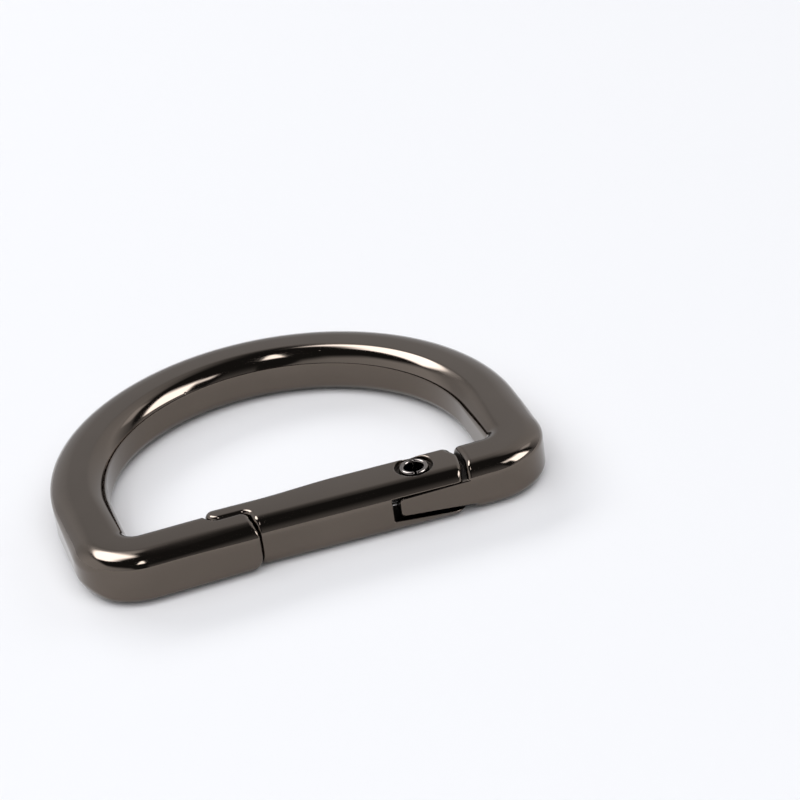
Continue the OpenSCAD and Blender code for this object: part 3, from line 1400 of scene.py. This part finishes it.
@dataclass(frozen=True)
class Studio:
    """The pale floor, the walls and panels that the metal mirrors, the lights and the camera.

    Angles are in degrees. The floor's size and the camera's clip distances are in metres,
    and the camera's place, lens and sensor are in millimetres.
    """

    white: Colour = (0.947, 0.956, 0.991)
    floor_tone: Colour = (0.8, 0.806, 0.83)
    floor_size: float = 6.0
    # Brightness against white: the dark ceiling, the light from all sides on the floor, and
    # what the floor gets from the metal.
    ceiling: float = 0.045
    fill: float = 0.22
    thrown: float = 3.6
    walls: tuple[WallStop, ...] = (
        WallStop(-180, 3, 4, 0.25),
        WallStop(-164, 3, 4, 0.4),
        WallStop(-150, 34, 14, 0.75),
        WallStop(-130, 44, 12, 0.9),
        WallStop(-100, 47, 9, 1.0),
        WallStop(-84, 43, 7, 1.1),
        WallStop(-62, 40, 7, 1.15),
        WallStop(-52, 38, 6, 0.95),
        WallStop(-44, 40, 8, 0.75),
        WallStop(-34, 42, 9, 0.74),
        WallStop(-22, 44, 12, 0.84),
        WallStop(-8, 43, 14, 0.76),
        WallStop(4, 43, 17, 0.68),
        WallStop(12, 47, 19, 0.69),
        WallStop(20, 55, 18, 0.73),
        WallStop(28, 62, 16, 0.78),
        WallStop(54, 63, 15, 0.88),
        WallStop(64, 62, 14, 1.0),
        WallStop(72, 60, 12, 0.75),
        WallStop(80, 55, 9, 0.5),
        WallStop(90, 16, 8, 0.25),
        WallStop(104, 16, 5, 0.7),
        WallStop(134, 14, 6, 0.7),
        WallStop(148, 4, 4, 0.4),
        WallStop(158, 26, 26, 0.36),
        WallStop(170, 27, 27, 0.36),
    )
    panels: tuple[Panel, ...] = (
        Panel(117, 35, 34, 31, 9.5, top_soft=6.0),
        Panel(139, 46, 18, 10, 5.0, low_soft=4.0),
        Panel(76, 42, 14, 18, 1.6, low_soft=4.0, top_soft=4.0),
        Panel(-26, 55.5, 52, 25, 10.0, side_soft=5.0, low_soft=2.5, top_soft=6.0),
        Panel(-15, 46, 46, 16, 1.6, side_soft=5.0, low_soft=8.0, top_soft=4.0),
        Panel(-168, 75, 22, 18, 9.0, side_soft=2.0),
    )
    lights: tuple[SoftBox, ...] = (
        SoftBox("front_key", -175, 60, 60, 60, 2.1),
        SoftBox("back_key", -18, 31, 50, 15, 6.5),
        SoftBox("left_key", -85, 48, 40, 40, 1.4),
        SoftBox("right_key", 70, 35, 40, 30, 1.1),
    )
    camera_at: tuple[float, float, float] = (-32.031, -161.246, 97.735)
    camera_pan: float = 14.3146
    camera_tilt: float = -29.7932
    camera_roll: float = -8.0954
    camera_lens: float = 124.04
    camera_sensor: float = 36.0
    camera_clip: tuple[float, float] = (0.01, 20.0)

    def camera(self) -> None:
        """Makes the camera."""
        data = bpy.data.cameras.new("camera")
        data.lens = self.camera_lens
        data.sensor_width = self.camera_sensor
        data.clip_start, data.clip_end = self.camera_clip
        camera = show("camera", data)
        camera.matrix_world = (
            Matrix.Translation(Vector(self.camera_at) * MM)
            @ Matrix.Rotation(math.radians(-self.camera_pan), 4, "Z")
            @ Matrix.Rotation(math.radians(90 + self.camera_tilt), 4, "X")
            @ Matrix.Rotation(math.radians(self.camera_roll), 4, "Z")
        )
        bpy.context.scene.camera = camera

    def floor(self) -> None:
        """Lays the floor under the hook."""
        half = self.floor_size / 2
        corners = [(-half, -half, 0), (half, -half, 0), (half, half, 0), (-half, half, 0)]
        mesh = bpy.data.meshes.new("floor")
        mesh.from_pydata(corners, [], [(0, 1, 2, 3)])
        material = bpy.data.materials.new("floor_paper")
        material.use_nodes = True
        board = NodeBoard(material.node_tree)
        shader = board.add("BsdfDiffuse", {"Color": (*self.floor_tone, 1)})
        board.add("OutputMaterial", {"Surface": shader.outputs["BSDF"]})
        mesh.materials.append(material)
        show("floor", mesh)

    def mirrored(self, board: NodeBoard) -> Socket:
        """Adds the walls, whose height changes round the room, and the panels.

        Args:
            board: where the nodes go.

        Returns:
            How bright the room is in each direction.
        """
        way = board.add("SeparateXYZ", {0: board.add("TexCoord").outputs["Generated"]}).outputs
        angle = board.math("ARCTAN2", way["X"], way["Y"])
        around = board.remap(angle, -math.pi, math.pi)
        height = board.math("ARCSINE", way["Z"])
        up = board.math("MULTIPLY", height, 2 / math.pi)

        def profile(*values: float) -> Socket:
            """A value that changes round the room, one for each stop."""
            stops = [((w.azimuth + 180) / 360, v) for w, v in zip(self.walls, values)]
            return board.ramp(around, *stops)

        low = profile(*(max(0.0, (w.top - w.soft) / 90) for w in self.walls))
        high = profile(*((w.top + w.soft) / 90 for w in self.walls))
        tone = profile(*(w.tone for w in self.walls))
        bright = board.remap(up, low, high, tone, self.ceiling, smooth=True)
        for panel in self.panels:
            bright = board.math("MAXIMUM", bright, panel.glow(board, angle, height))
        return bright

    def room(self) -> None:
        """Makes the world.

        The camera sees plain white, the metal mirrors the room, and the floor gets an even
        light. Light that the metal throws on the floor is stronger than the mirrored room,
        because it stands for the lights, which the metal doesn't mirror.
        """
        world = bpy.data.worlds.new("studio")
        bpy.context.scene.world = world
        world.use_nodes = True
        board = NodeBoard(world.node_tree)

        def glow(strength: Socket | float) -> Socket:
            """White light of some strength."""
            inputs = {"Color": (*self.white, 1), "Strength": strength}
            return board.add("Background", inputs).outputs[0]

        ray = board.add("LightPath").outputs
        from_floor = board.math("GREATER_THAN", ray["Diffuse Depth"], 0.5)
        from_both = board.math("MULTIPLY", from_floor, ray["Is Glossy Ray"])
        shown = board.either(ray["Is Glossy Ray"], glow(self.fill), glow(self.mirrored(board)))
        thrown = board.either(from_both, shown, glow(self.thrown))
        final = board.either(ray["Is Camera Ray"], thrown, glow(1.0))
        board.add("OutputWorld", {"Surface": final})

    def build(self) -> None:
        """Sets up the whole studio."""
        self.camera()
        self.floor()
        self.room()
        for light in self.lights:
            light.build()
        bpy.context.scene.view_settings.view_transform = "Standard"


GUNMETAL = BrightPlating(
    name="gunmetal_plating",
    tint=(0.137, 0.114, 0.095),
    roughness=0.085,
    smear=0.015,
    wave_height=0.004,
    wave_length=3.0,
    pit_depth=0.006,
    pit_spacing=1.6,
)
PIN_PLATING = BrightPlating(
    name="pin_plating",
    tint=(0.2, 0.18, 0.165),
    roughness=0.16,
    smear=0.03,
    wave_height=0.002,
    wave_length=0.8,
    pit_depth=0.003,
    pit_spacing=0.9,
)
SPRING_WIRE = DrawnWire(name="spring_wire", tint=(0.5, 0.49, 0.48), roughness=0.3)


def main() -> None:
    """Builds the hook and its studio."""
    logging.basicConfig(level=logging.INFO, format="%(name)s: %(message)s")
    sizes = HookSizes.from_frame()
    plating = GUNMETAL.material()
    RingCasting(sizes).build(plating)
    GateCasting(sizes).build(plating)
    RollPin(sizes).build(PIN_PLATING.material())
    TorsionSpring(sizes).build(SPRING_WIRE.material())
    Studio().build()


if __name__ == "__main__":
    main()
